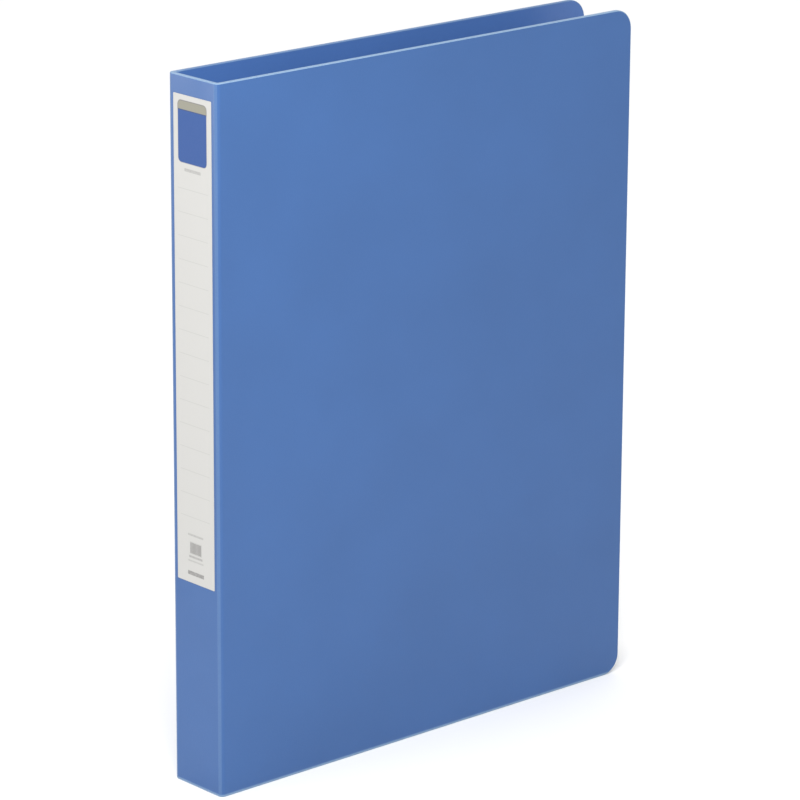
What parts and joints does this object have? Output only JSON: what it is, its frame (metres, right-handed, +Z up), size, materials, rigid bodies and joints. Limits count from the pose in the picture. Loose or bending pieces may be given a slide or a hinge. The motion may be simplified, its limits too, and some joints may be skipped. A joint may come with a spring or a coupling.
{
  "type": "lever arch file",
  "caption": "Slim two-hole lever arch file for A4 paper, with a folded plastic cover, a paper spine label and a low steel lever mechanism on the back cover.",
  "frame": {"origin": "bottom centre of the closed file's bounding box, on the surface that it stands on", "axes": "+Z up along the spine, +X from the spine to the fore edge, -Y towards the front cover"},
  "size_m": [0.2342, 0.0322, 0.307],
  "materials": {
    "cover_plastic": "fine matt grain, soft sheen",
    "label_paper": "uncoated printed paper",
    "nickel_plate": "nickel-plated pressed sheet",
    "nickel_wire": "bright nickel-plated wire",
    "pin_steel": "plain turned steel",
    "roller_steel": "turned steel",
    "spring_steel": "drawn spring wire and strip",
    "rivet_steel": "nickel-plated, satin"
  },
  "bodies": {
    "back": {"back_cover": "cover_plastic", "base_plate": "nickel_plate", "fixed_post_upper": "nickel_plate", "fixed_post_lower": "nickel_plate", "lever_pivot_pin": "pin_steel", "opening_spring": "spring_steel", "mounting_rivets": "rivet_steel", "rivet_washers": "rivet_steel"},
    "spine": {"spine_panel": "cover_plastic", "spine_label": "label_paper", "front_fold": "cover_plastic", "rear_fold": "cover_plastic"},
    "front": {"front_cover": "cover_plastic"},
    "arches": {"arch_wire": "nickel_wire"},
    "lever": {"lever": "nickel_plate", "roller_axle": "pin_steel"},
    "roller": {"roller": "roller_steel"},
    "compressor": {"compressor_bar": "nickel_plate", "compressor_clip": "spring_steel", "compressor_rivets": "rivet_steel"}
  },
  "joints": [
    {"name": "spine_fold", "type": "hinge", "parent": "back", "child": "spine", "pos_m": [-0.1159, 0.0141, 0.1535], "axis": [0, 0, -1], "range_deg": [0, 90], "deforming": ["rear_fold"]},
    {"name": "front_cover_fold", "type": "hinge", "parent": "spine", "child": "front", "pos_m": [-0.1159, -0.0151, 0.1535], "axis": [0, 0, -1], "range_deg": [0, 180], "deforming": ["front_fold"]},
    {"name": "lever_swing", "type": "hinge", "parent": "back", "child": "lever", "pos_m": [-0.1001, 0.00595, 0.1705], "axis": [-1, 0, 0], "range_deg": [0, 26.2]},
    {"name": "arch_swing", "type": "hinge", "parent": "back", "child": "arches", "pos_m": [-0.1061, 0.0101, 0.1535], "axis": [0, 0, -1], "range_deg": [0, 40], "deforming": ["opening_spring"]},
    {"name": "roller_spin", "type": "hinge", "parent": "lever", "child": "roller", "pos_m": [-0.1001, 0.00595, 0.1625], "axis": [-1, 0, 0], "continuous": true},
    {"name": "compressor_slide", "type": "slide", "parent": "back", "child": "compressor", "axis": [0, -1, 0], "range_m": [0, 0.0055]}
  ],
  "couplings": [
    {"joint": "arch_swing", "follows": "lever_swing", "ratio": 1.5267}
  ]
}
